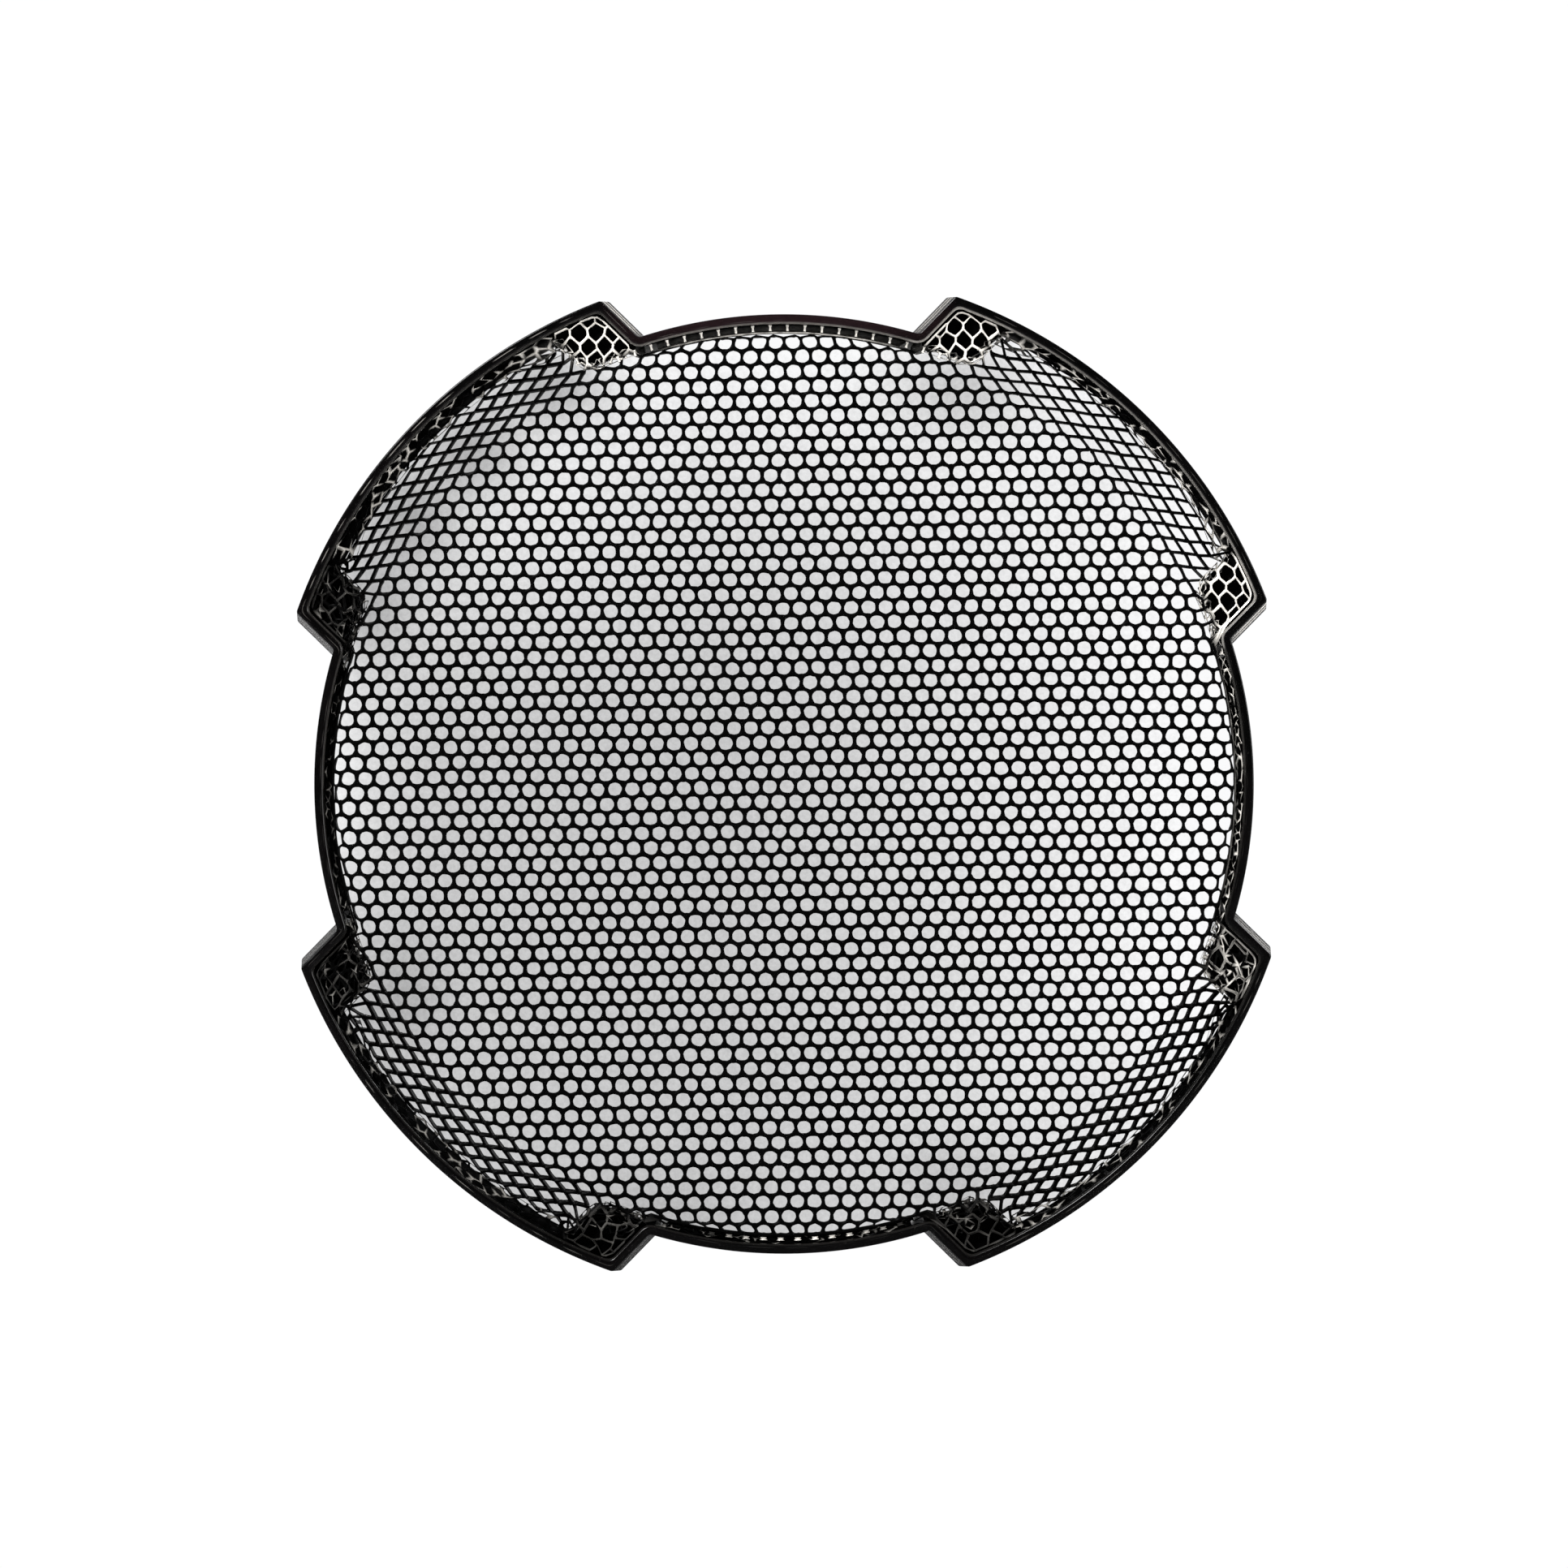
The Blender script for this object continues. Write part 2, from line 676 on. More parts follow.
def rear_ring():
    flange = outline(
        RECESS_R - FLANGE_INSET, LUG_R - FLANGE_INSET, HALF_BACK - FLANGE_INSET, 0.8, 2.0
    )

    def hole(grow):
        """The opening: wide in the lugs, drawn in behind the corner floors."""
        made = []
        for x, z in flange:
            lug, along, across = nearest_lug(x, z)
            turn = max(abs(math.atan2(across, along)), 1e-6)
            step = (FLOOR_ACROSS + grow) / math.sin(turn)
            radius = min(SHEET_END[lug] + 0.15 + grow, max(FLOOR_R + grow, step))
            radius += (RING_RECESS_R + grow - radius) * smooth(
                math.radians(25.6), math.radians(27.2), turn
            )
            scale = radius / math.hypot(x, z)
            made.append((x * scale, z * scale))
        return made

    def front_depths(points):
        """Depth of the ring's front, close behind the sheet."""
        depths = []
        for x, z in points:
            across = abs(nearest_lug(x, z)[2])
            radius = math.hypot(x, z)
            low = CORE_FRONT + CORE_DEEP + 0.35
            if radius > RECESS_R - 0.5 or across < LUG_HALF:
                side = smooth(23.5, 28.5, across)
                low = (low + core_drop(radius)) * (1.0 - side) + (RING_FRONT - 0.6) * side
            depths.append(min(low, RING_FRONT - 0.3))
        return depths

    def shine(points, weight):
        """Bare metal in the top arc."""
        made = []
        for x, z in points:
            angle = math.degrees(math.atan2(z, x))
            upper = smooth(58.0, 66.0, angle) * (1.0 - smooth(114.0, 122.0, angle))
            made.append(weight * upper)
        return made

    def between(flange_share, edge_share):
        return np.array(flange) * flange_share + np.array(edge) * edge_share

    def body(inset):
        return rim_outline(inset, HALF_BACK)

    edge = hole(0.0)
    edge_front = np.array(front_depths(edge))
    flange_front = np.array(front_depths(flange))
    near = between(0.12, 0.88)
    sections = [
        (hole(0.75), RING_BACK, 0.0),
        (body(RING_ROUND), RING_BACK, 0.0),
        (body(RING_ROUND * 0.3), RING_BACK - RING_ROUND * 0.3, 0.0),
        (body(0.0), RING_BACK - RING_ROUND, 0.0),
        (body(0.0), RING_FRONT + 0.2, 0.0),
        (body(0.2), RING_FRONT, 0.0),
        (flange, RING_FRONT, 0.0),
        (flange, flange_front + 0.2, 0.0),
        (between(0.85, 0.15), flange_front, 0.0),
        (near, edge_front, shine(near, 0.3)),
        (edge, edge_front + 0.12, shine(edge, 1.0)),
        (edge, np.minimum(edge_front + 0.8, RING_BACK - 0.6), shine(edge, 0.2)),
        (hole(0.45), RING_BACK - 0.3, 0.0),
    ]
    ring = ring_loft("rear_ring_shell", sections, RING_PAINT, replaces="rear_ring")

    sinks = []
    for _, x, z in POST_SPOTS:
        bpy.ops.mesh.primitive_cylinder_add(
            vertices=40,
            radius=SINK_R * MM,
            depth=SINK_TOOL * MM,
            location=at(x, z, RING_BACK - SINK_DEEP + SINK_TOOL / 2.0),
            rotation=(math.pi / 2.0, 0.0, 0.0),
        )
        sinks.append(bpy.context.active_object)
    cut_away(ring, sinks, sharp=45.0)


rear_ring()

# ------------------------------------------------------------------ honeycomb core
NEIGHBOURS = ((1, 0), (0, 1), (-1, 1), (-1, 0), (0, -1), (1, -1))
ARC_END = 83.35  # radius where the sheet is cut in the recessed arcs
PATCH_HALF, PATCH_END = 38.0, 93.35  # outer limits of the level part over a corner floor
PATCH_ROUND = 2.2  # rounding of that part's outer corner
LATTICE = 48  # cells tried each way from the middle
LATTICE_R, MIDDLE_R = 100.0, 60.0  # how far cells reach, and the middle object's share
# per lug: opening size, roundness, how far the cells are drawn out into diamonds and
# along which wall family, and how far the walls lean
DISHED = (
    dict(share=0.805, round=0.20, draw=0.92, family="b", lean=0.08),
    dict(share=0.785, round=0.18, draw=0.93, family="c", lean=0.22),
    dict(share=0.775, round=0.45, draw=0.74, family="b", lean=0.34),
    dict(share=0.775, round=0.65, draw=0.50, family="c", lean=0.30),
)
# how each wall family draws the cell corners apart
SHIFT = {
    "a": (VEC_A - 2.0 * VEC_B) / 6.0,
    "b": (VEC_B - 2.0 * VEC_A) / 6.0,
    "c": (VEC_A + VEC_B) / 6.0,
}
# how bright the bare cell edges are over each corner floor
CORNER_SHINE = {
    "upper_right_a": 0.95,
    "upper_right_b": 0.85,
    "upper_left_a": 0.80,
    "upper_left_b": 0.025,
    "lower_left_a": 0.02,
    "lower_left_b": 0.035,
    "lower_right_a": 0.035,
    "lower_right_b": 0.30,
}
BRIGHT = 0.7  # corners above this have clean bare edges


def ledge(radius, side):
    """1 on the level part over a corner floor, 0 in the dished part of a lug."""
    return smooth(28.2, 29.8, side) * smooth(83.4, 85.0, radius)


def dish(radius, side):
    """1 where a lug's sheet is dished, 0 on the flat and over the corner floors."""
    return (1.0 - smooth(37.0, 38.4, side)) * (1.0 - ledge(radius, side))


def pressed(point):
    """Where a point of the flat sheet ends up, and how far back."""
    x, z = float(point[0]), float(point[1])
    radius = math.hypot(x, z)
    if radius <= FOLD_R - 0.6:
        return np.array([x, z]), 0.0
    side = abs(nearest_lug(x, z)[2])
    over = radius - FOLD_R
    bend = 0.5 * (over + math.sqrt(over * over + 0.30))  # a small radius at the bend
    amount = (1.0 - SQUEEZE) * (1.0 - 0.75 * ledge(radius, side))
    new_radius = radius - amount * bend
    drop = max(min(new_radius, SEAT_R) - FOLD_R, 0.0) * SLOPE * dish(radius, side)
    return np.array([x, z]) * (new_radius / radius), drop


def fence(point, inset):
    """Keeps a point of the sheet inside the frame: recessed arcs, lugs, corner floors."""
    x, z = float(point[0]), float(point[1])
    radius = math.hypot(x, z)
    if radius < 82.0 - inset:
        return np.array([x, z])
    lug, along, across = nearest_lug(x, z)
    side = abs(across)
    if side > 38.3 and not (radius > 84.4 and side < 40.6):
        limit = ARC_END - inset
    else:
        end = SHEET_END[lug]
        limit = end + (PATCH_END - end) * smooth(28.0, 30.0, side) - inset
        if radius > 83.9 and side > PATCH_HALF - inset:
            side = PATCH_HALF - inset
    if side != abs(across):
        spot = from_lug(lug, along, math.copysign(side, across))
        x, z = float(spot[0]), float(spot[1])
        radius = math.hypot(x, z)
    if radius > limit:
        x, z = x * limit / radius, z * limit / radius
    # the rounded outer corner of the level part
    lug, along, across = nearest_lug(x, z)
    side = abs(across)
    mid_side = PATCH_HALF - PATCH_ROUND
    mid_along = math.sqrt((93.3 - PATCH_ROUND) ** 2 - mid_side**2)
    if side > mid_side and along > mid_along:
        off = math.hypot(along - mid_along, side - mid_side)
        if off > PATCH_ROUND - inset:
            scale = (PATCH_ROUND - inset) / off
            spot = from_lug(
                lug,
                mid_along + (along - mid_along) * scale,
                math.copysign(mid_side + (side - mid_side) * scale, across),
            )
            x, z = float(spot[0]), float(spot[1])
    return np.array([x, z])


def zone(place):
    """Lug number, place across it, how dished the sheet is, how much it is level."""
    x, z = float(place[0]), float(place[1])
    radius = math.hypot(x, z)
    lug, _, across = nearest_lug(x, z)
    level = ledge(radius, abs(across))
    dished = smooth(FOLD_R - 0.8, FOLD_R + 2.2, radius) * (1.0 - level)
    return lug, across, dished, level


def opening(place):
    """Share of a cell that is open."""
    lug, _, dished, level = zone(place)
    flat = 0.762 + 0.018 * smooth(25.0, 75.0, place[0]) + 0.016 * smooth(25.0, 75.0, place[1])
    flat += 0.009 * smooth(35.0, 75.0, math.hypot(float(place[0]), float(place[1])))
    share = flat + (DISHED[lug]["share"] - flat) * dished
    return share + (0.875 - share) * level


def roundness(place):
    """0 for a hexagonal opening, 1 for a round one."""
    lug, _, dished, level = zone(place)
    curve = 1.0 + (DISHED[lug]["round"] - 1.0) * dished
    return curve + (0.30 - curve) * level


def corner_shine(lug, across):
    return CORNER_SHINE[QUARTERS[lug] + ("_b" if across > 0 else "_a")]


def bare_wire(place):
    """How bright the cell edges are: bare metal over the black corner floors."""
    lug, across, _, _ = zone(place)
    radius = math.hypot(float(place[0]), float(place[1]))
    over = smooth(84.8, 85.5, radius) * smooth(29.3, 30.0, abs(across))
    return over * corner_shine(lug, across)


# a cell corner: vertices, face places and depths in front and at the back
CellCorner = namedtuple("CellCorner", "front_vert back_vert front back low high")


class Sheet:
    """Collects cells that share their corner points, and closes the sheet's rim.

    corner_at(key) gives a corner's front and back place, both depths and its bareness;
    clip(place, inset) holds the openings inside; lens sets their edges in from the
    sheet's faces; rough varies their size.
    """

    def __init__(self, corner_at, round_of, bare_of, clip, lens, rough):
        self.corner_at, self.round_of, self.bare_of = corner_at, round_of, bare_of
        self.clip, self.lens, self.rough = clip, lens, rough
        self.verts, self.faces, self.bare = [], [], []
        self.corners, self.edges = {}, {}

    def vertex(self, place, depth, bare):
        self.verts.append(at(place[0], place[1], depth))
        self.bare.append(bare)
        return len(self.verts) - 1

    def corner(self, key):
        if key not in self.corners:
            front, back, low, high, bare = self.corner_at(key)
            front_vert = self.vertex(front, low, bare)
            back_vert = self.vertex(back, high, 0.0)
            self.corners[key] = CellCorner(front_vert, back_vert, front, back, low, high)
        return self.corners[key]

    def add_cell(self, i, j, share_of):
        """A hexagonal cell with an opening of 18 points, three to each corner."""
        keys = []
        for k in range(6):
            (one_i, one_j), (two_i, two_j) = NEIGHBOURS[k], NEIGHBOURS[(k + 1) % 6]
            keys.append((3 * i + one_i + two_i, 3 * j + one_j + two_j))
        corners = [self.corner(key) for key in keys]
        mid_front = sum(c.front for c in corners) / 6.0
        mid_back = sum(c.back for c in corners) / 6.0
        rough = self.rough
        share = share_of(mid_front) * (1.0 + rough * 0.8 * (speck(i, j, 31) - 0.5))
        curve = self.round_of(mid_front) + 0.4 * (speck(i, j, 32) - 0.5)
        curve = min(max(curve, 0.0), 1.0)
        turn = 9.0 + 11.0 * curve  # degrees from a corner to its side points
        step = 0.5 - 0.866 * math.tan(math.radians(30.0 - turn))
        at_corner = (1.0 - curve) + 0.9094 * curve
        bow = math.cos(math.radians(30.0 - turn)) / 0.866
        at_side = (1.0 - curve) + 0.9094 * curve * bow
        holes_front, holes_back = [], []
        for k, corner in enumerate(corners):
            for m in (-1, 0, 1):
                other = corners[(k + m) % 6]
                part = abs(m) * step
                scale = share * (at_side if m else at_corner)
                if k in (1, 4):  # flattened at two opposite corners
                    scale *= 1.0 - curve * (0.045 if m else 0.075)
                scale *= 1.0 + rough * (speck(i * 19 + k, j * 7 + m, 33) - 0.5) * 2.0
                front = corner.front * (1.0 - part) + other.front * part
                back = corner.back * (1.0 - part) + other.back * part
                low = corner.low * (1.0 - part) + other.low * part
                high = corner.high * (1.0 - part) + other.high * part
                front = self.clip(mid_front + (front - mid_front) * scale, 0.32)
                back = self.clip(mid_back + (back - mid_back) * scale, 0.32)
                bare = 0.65 * self.bare_of(front)
                holes_front.append(self.vertex(front, low + self.lens, bare))
                holes_back.append(self.vertex(back, high - self.lens, 0.0))
        for k in range(6):
            n = (k + 1) % 6
            front, back = corners[k].front_vert, corners[k].back_vert
            next_front, next_back = corners[n].front_vert, corners[n].back_vert
            one, two, three = holes_front[3 * k : 3 * k + 3]
            self.faces += [
                (front, one, two),
                (front, two, three),
                (front, three, holes_front[3 * n], next_front),
            ]
            one, two, three = holes_back[3 * k : 3 * k + 3]
            self.faces += [
                (back, two, one),
                (back, three, two),
                (next_back, next_front_hole(holes_back, n), three, back)
                if False
                else (back, next_back, holes_back[3 * n], three),
            ]
            edge = (min(keys[k], keys[n]), max(keys[k], keys[n]))
            wall = (front, next_front, next_back, back)
            self.edges.setdefault(edge, []).append(wall)
        for k in range(18):
            n = (k + 1) % 18
            self.faces.append((holes_front[k], holes_back[k], holes_back[n], holes_front[n]))

    def build(self, name):
        for walls in self.edges.values():
            if len(walls) == 1:
                self.faces.append(walls[0])
        core_object(name, self.verts, self.faces, self.bare, sharp=48.0, weld=True)


def core_object(name, verts, faces, bare, **finish):
    new_object(name, verts, faces, CORE_PAINT, bare, replaces="honeycomb_core", **finish)


def core_corner(key):
    kind = 1.0 if key[0] % 3 == 1 else -1.0  # corners alternate around a cell
    flat = ORIGIN + (VEC_A * key[0] + VEC_B * key[1]) / 3.0
    lug, across, dished, level = zone(pressed(flat)[0])
    look = DISHED[lug]
    flat = flat + SHIFT[look["family"]] * (kind * look["draw"] * dished)
    if level > 0.0:
        flat = flat + SHIFT["a"] * (kind * 0.35 * level)
    bright = corner_shine(lug, across) > BRIGHT
    jitter = 0.15 + (0.35 if bright else 1.35) * level
    flat = flat + 0.20 * dished * np.array(
        [wobble(flat[0] * 0.9, flat[1] * 0.9, 6.0), wobble(flat[0] * 0.8, flat[1] * 1.1, 8.0)]
    )
    flat = flat + jitter * np.array(
        [speck(key[0], key[1], 1) - 0.5, speck(key[0], key[1], 2) - 0.5]
    )
    place, drop = pressed(flat)
    place = fence(place, 0.0)
    low = CORE_FRONT + drop + 0.05 * wobble(place[0] * 0.3, place[1] * 0.3, 1.0)
    outward = place / max(float(np.hypot(*place)), 1.0)
    back = fence(place - outward * (look["lean"] * dished), 0.0)
    chance = speck(key[0], key[1], 5)
    shine = bare_wire(place) * (0.85 + 0.3 * chance if bright else 2.2 * chance**2)
    return place, back, low, low + CORE_DEEP, min(shine, 1.0)


def in_core(centre):
    """Whether a cell belongs to the sheet, from its centre after pressing."""
    x, z = centre
    radius = math.hypot(x, z)
    lug, _, across = nearest_lug(x, z)
    side = abs(across)
    if side > 39.2 or (side > PATCH_HALF and radius < 84.4):
        return radius < ARC_END + 0.25
    limit = SHEET_END[lug] - 0.3
    return radius < limit + (94.1 - limit) * smooth(28.5, 30.5, side)


def honeycomb():
    middle, rim = (
        Sheet(core_corner, roundness, bare_wire, fence, lens=0.14, rough=0.045)
        for _ in range(2)
    )
    for i in range(-LATTICE, LATTICE + 1):
        for j in range(-LATTICE, LATTICE + 1):
            flat = ORIGIN + VEC_A * i + VEC_B * j
            if np.hypot(*flat) > LATTICE_R or not in_core(pressed(flat)[0]):
                continue
            sheet = middle if np.hypot(*flat) < MIDDLE_R else rim
            sheet.add_cell(i, j, opening)
    middle.build("honeycomb_core_middle")
    rim.build("honeycomb_core_rim")


honeycomb()


# ------------------------------------------------------------------ crumpled edges of the sheet
def band(name, start, stop, rows, step, height, spot, jitter, bare, share=0.76, thick=0.9):
    """A strip of crushed cells.

    spot(run, rise) gives the place and depth of a strip point: run is its distance along
    the strip, rise goes from 0 to 1 over the strip's width. bare(place, chance) gives
    its bareness.
    """
    seed = len(name) * 7 + int(abs(start) * 3)
    full = height * rows * 0.92

    def corner(key):
        run = (key[0] + 0.5 * key[1]) / 3.0 * step
        rise = key[1] / 3.0 * height
        run += jitter * step * (speck(key[0], key[1], seed + 1) - 0.5)
        rise += jitter * height * (speck(key[0], key[1], seed + 2) - 0.5)
        rise = min(max(rise, 0.0), full)
        place, low = spot(min(max(run, start), stop), rise / full)
        return place, place, low, low + thick, bare(place, speck(key[0], key[1], seed + 3))

    sheet = Sheet(
        corner,
        round_of=lambda place: 0.35,
        bare_of=lambda place: 0.0,
        clip=lambda place, inset: place,
        lens=0.1,
        rough=0.12,
    )
    for i in range(int(start / step) - 2, int(stop / step) + 3):
        for j in range(rows):
            if start + 0.4 * step < (i + 0.5 * j) * step < stop - 0.4 * step:
                size = min(share * (0.72 + 0.5 * speck(i, j, seed + 4)), 0.9)
                sheet.add_cell(i, j, lambda place, size=size: size)
    sheet.build(name)


# by lug: brightness of the bare foil, and the chance above which foil is bare
HEM_SHINE = (0.85, 0.38, 0.18, 0.34)
HEM_LIMIT = (0.55, 0.68, 0.78, 0.66)
HEM_REACH, HEM_TOP_R = 31.0, 93.8


def hem(lug):
    """In a lug the sheet's edge is turned up along the inside of the frame's wall."""
    low = CORE_FRONT + core_drop(SEAT_R)

    def near_corner(across):
        return smooth(19.0, 27.0, abs(across))

    def spot(run, rise):
        edge = SHEET_END[lug] - 0.5 - 1.3 * near_corner(run)
        radius = edge + (HEM_TOP_R - edge) * rise + 0.08 * wobble(run * 2.0, rise * 3.0, lug)
        depth = low + 0.1 - (low - CORE_FRONT - 0.2) * rise**0.8
        return on_radius(lug, radius, run), depth

    def bare(place, chance):
        across = float(np.dot(place, LUG_AXES[lug][1]))
        if near_corner(across) > 0.3 and (lug == 0 or (lug == 1 and across < 0.0)):
            return 0.75 if chance > 0.35 else 0.1
        return HEM_SHINE[lug] * (0.5 + chance) if chance > HEM_LIMIT[lug] else 0.0

    band(
        f"core_hem_{QUARTERS[lug]}",
        start=-HEM_REACH,
        stop=HEM_REACH,
        rows=3,
        step=PITCH * 0.86,
        height=PITCH * 0.5,
        spot=spot,
        jitter=0.55,
        bare=bare,
    )


for lug in range(4):
    hem(lug)

CRUSH_REACH = 36.0


def crush(name, angle, strength, limit, inner_r, outer_r=84.9):
    """In a recessed arc the sheet's cut edge is crushed on to the ledge."""

    def spot(run, rise):
        place = np.array(polar(1.0, angle - run / 84.0)) * (inner_r + (outer_r - inner_r) * rise)
        return place, 3.3 - 1.0 * rise + 0.15 * wobble(run * 2.0, rise * 4.0, angle)

    def bare(place, chance):
        return strength * (0.5 + chance) if chance > limit else 0.0

    band(
        name,
        start=-CRUSH_REACH,
        stop=CRUSH_REACH,
        rows=2,
        step=PITCH * 0.62,
        height=0.95,
        spot=spot,
        jitter=0.7,
        bare=bare,
        share=0.74,
        thick=0.8,
    )


crush("core_crush_right", angle=0.0, strength=1.0, limit=0.42, inner_r=83.45)
crush("core_crush_left", angle=math.pi, strength=0.20, limit=0.78, inner_r=83.5)
crush("core_crush_bottom", angle=-math.pi / 2.0, strength=0.14, limit=0.76, inner_r=83.5)

# the seam's line: down beside the level part, round a bend, then along its inner edge
SEAM_BEND, SEAM_ACROSS, SEAM_R = 1.5, 29.5, 84.7
SEAM_TOP_R, SEAM_END = 92.4, 38.2


def seam(corner, lug, sign):
    """Crushed cells where the dished sheet meets the level part over a corner floor."""
    leg = SEAM_TOP_R - (SEAM_R + SEAM_BEND)
    turn = SEAM_BEND * math.pi / 2.0
    bend_across, bend_r = SEAM_ACROSS + SEAM_BEND, SEAM_R + SEAM_BEND

    def spot(run, rise):
        off = 0.85 - 1.9 * rise
        if run < leg:
            across, radius = SEAM_ACROSS - off, SEAM_TOP_R - run
        elif run < leg + turn:
            angle = (run - leg) / SEAM_BEND
            reach = SEAM_BEND + off
            across = bend_across - reach * math.cos(angle)
            radius = bend_r - reach * math.sin(angle)
        else:
            across, radius = bend_across + (run - leg - turn), SEAM_R - off
        depth = 2.6 + 0.5 * wobble(run * 2.3, rise * 5.0, lug)
        return on_radius(lug, radius, min(across, 38.4) * sign), depth

    strength = CORNER_SHINE[corner]

    def bare(place, chance):
        if strength > BRIGHT:
            return strength if chance > 0.45 else 0.05
        return 1.6 * strength * chance if chance > 0.66 else 0.0

    band(
        f"core_seam_{corner}",
        start=0.0,
        stop=leg + turn + SEAM_END - bend_across,
        rows=2,
        step=PITCH * 0.52,
        height=1.15,
        spot=spot,
        jitter=0.75,
        bare=bare,
        share=0.78 if strength > BRIGHT else 0.62,
        thick=1.1,
    )


for corner, lug, sign in CORNERS:
    seam(corner, lug, sign)

# darker corners: rows, inner and outer radius, chance above which foil is bare, brightness
CRUMPLES = {
    "upper_left_b": (5, 85.3, 92.9, 0.80, 0.12),
    "lower_left_a": (5, 85.3, 92.9, 0.82, 0.14),
    "lower_left_b": (3, 85.3, 89.0, 0.74, 0.16),
    "lower_right_a": (3, 85.3, 89.2, 0.74, 0.13),
    "lower_right_b": (5, 85.2, 93.0, 0.58, 0.62),
}


def crumple(corner, lug, sign, rows, inner_r, outer_r, limit, strength):
    """Small crushed cells lying over the level part in the darker corners."""

    def spot(run, rise):
        radius = inner_r + (outer_r - inner_r) * rise
        across = run + 0.25 * wobble(run * 1.7, rise * 6.0, lug)
        depth = 2.15 + 0.22 * wobble(run * 2.1, rise * 9.0, lug + 3)
        return on_radius(lug, radius, across * sign), depth

    def bare(place, chance):
        return strength * (0.3 + 0.9 * chance) if chance > limit else 0.0

    band(
        f"core_crumple_{corner}",
        start=30.0,
        stop=37.9,
        rows=rows,
        step=PITCH * 0.52,
        height=(outer_r - inner_r) / (rows * 0.92),
        spot=spot,
        jitter=0.95,
        bare=bare,
        share=0.78,
        thick=0.6,
    )


for corner, lug, sign in CORNERS:
    if corner in CRUMPLES:
        crumple(corner, lug, sign, *CRUMPLES[corner])

BORDER_STEPS, BORDER_REACH = 96, math.radians(17.5)
# section of a hoop: radius, depth, share of the brightness
BORDER_PROFILE = (
    (83.16, 4.2, 0.0), (83.16, 2.05, 0.4), (83.22, 1.95, 1.0),
    (83.40, 1.95, 1.0), (83.46, 2.05, 0.4), (83.46, 4.2, 0.0),
)


def border(name, angle, bright):
    """Foil hoop closing the cut cells of a recessed arc."""
    verts, bare = [], []
    for i in range(BORDER_STEPS + 1):
        part = 2.0 * i / BORDER_STEPS - 1.0
        turn = angle + BORDER_REACH * part
        fade = 1.0 - smooth(0.55, 0.95, abs(part))
        fade *= 0.62 + 0.38 * wobble(i * 1.9, i * 0.7, angle)
        for n, (radius, depth, share) in enumerate(BORDER_PROFILE):
            radius += 0.04 * wobble(i * 0.9, n, angle)
            verts.append(at(*polar(radius, turn), depth))
            bare.append(bright * share * fade)
    core_object(name, verts, skin(BORDER_STEPS + 1, len(BORDER_PROFILE)), bare)


border("core_border_top", math.pi / 2.0, bright=0.34)
border("core_border_left", math.pi, bright=0.0)
border("core_border_bottom", -math.pi / 2.0, bright=0.0)
border("core_border_right", 0.0, bright=0.10)

# a tab from its inner to its outer end: part of its length, half width in tab widths
TAB_ROWS = ((0.0, 0.42), (0.25, 0.40), (0.6, 0.30), (0.85, 0.46), (1.0, 0.52))
# section of a tab: place in half widths, depth, whether its edge is bare
TAB_PROFILE = (
    (-1.0, 2.35, True), (-0.6, 2.15, True), (0.6, 2.15, True),
    (1.0, 2.35, True), (1.0, 4.2, False), (-1.0, 4.2, False),
)
TAB_OFFSET = -1.5


def tabs(name, angle, places, inner_r, outer_r, width):
    """Cut cell walls left standing on the ledge: bent foil tabs with bare front edges.
    places holds each tab's run along the arc and its brightness."""
    verts, faces, bare = [], [], []
    for n, (run, bright) in enumerate(places):
        out = np.array(polar(1.0, angle - run / 83.8))
        side = np.array([out[1], -out[0]])
        faces += skin(len(TAB_ROWS), len(TAB_PROFILE), base=len(verts))
        lean = 0.10 * (speck(n, 3, 41) - 0.5)
        for part, half in TAB_ROWS:
            radius = inner_r + (outer_r - inner_r) * part
            for place, depth, is_bare in TAB_PROFILE:
                spot = out * radius + side * (place * half * width + lean * part)
                verts.append(at(spot[0], spot[1], depth))
                bare.append(bright if is_bare else 0.0)
    core_object(name, verts, faces, bare)


tabs(
    "core_tabs_top",
    math.pi / 2.0,
    [(TAB_OFFSET + PITCH * n, 1.0 if abs(n) < 8 else 0.7) for n in range(-9, 11)],
    inner_r=83.62,
    outer_r=84.72,
    width=0.60,
)
tabs(
    "core_tabs_bottom",
    -math.pi / 2.0,
    [(TAB_OFFSET + PITCH * n, max(0.9 - 0.16 * abs(n + 0.5), 0.0)) for n in range(-6, 6)],
    inner_r=83.75,
    outer_r=84.25,
    width=1.35,
)

# ------------------------------------------------------------------ ring screws
HEAD_SEAT = RING_BACK - SINK_DEEP + 0.2
# a domed head with its shank: radius, distance behind the head's seat
SCREW_PROFILE = (
    (0.0, 1.1), (1.0, 1.08), (1.6, 0.98), (2.0, 0.78), (2.25, 0.45), (2.3, 0.2),
    (2.28, 0.04), (2.2, 0.0), (1.2, 0.0), (1.2, -3.0), (0.5, -3.6), (0.0, -3.6),
)
CROSS_BAR = (2.5, 1.3, 0.5)  # length, width and thickness of a bar of the cross recess


def screw(corner, x, z):
    profile = [(radius, HEAD_SEAT + height) for radius, height in SCREW_PROFILE]
    obj = turned(f"ring_screw_head_{corner}", x, z, profile, 36, SCREW_STEEL)
    turn = 0.7 + 1.9 * speck(int(x), int(z), 4)
    bars = []
    for quarter_turn in (0.0, math.pi / 2.0):
        bpy.ops.mesh.primitive_cube_add(size=1.0, location=at(x, z, HEAD_SEAT + 1.0))
        bar = bpy.context.active_object
        bar.scale = [size * MM for size in CROSS_BAR]
        bar.rotation_euler = (0.0, turn + quarter_turn, 0.0)
        bars.append(bar)
    cut_away(obj, bars, sharp=35.0)
    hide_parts(f"ring_screw_{corner}")


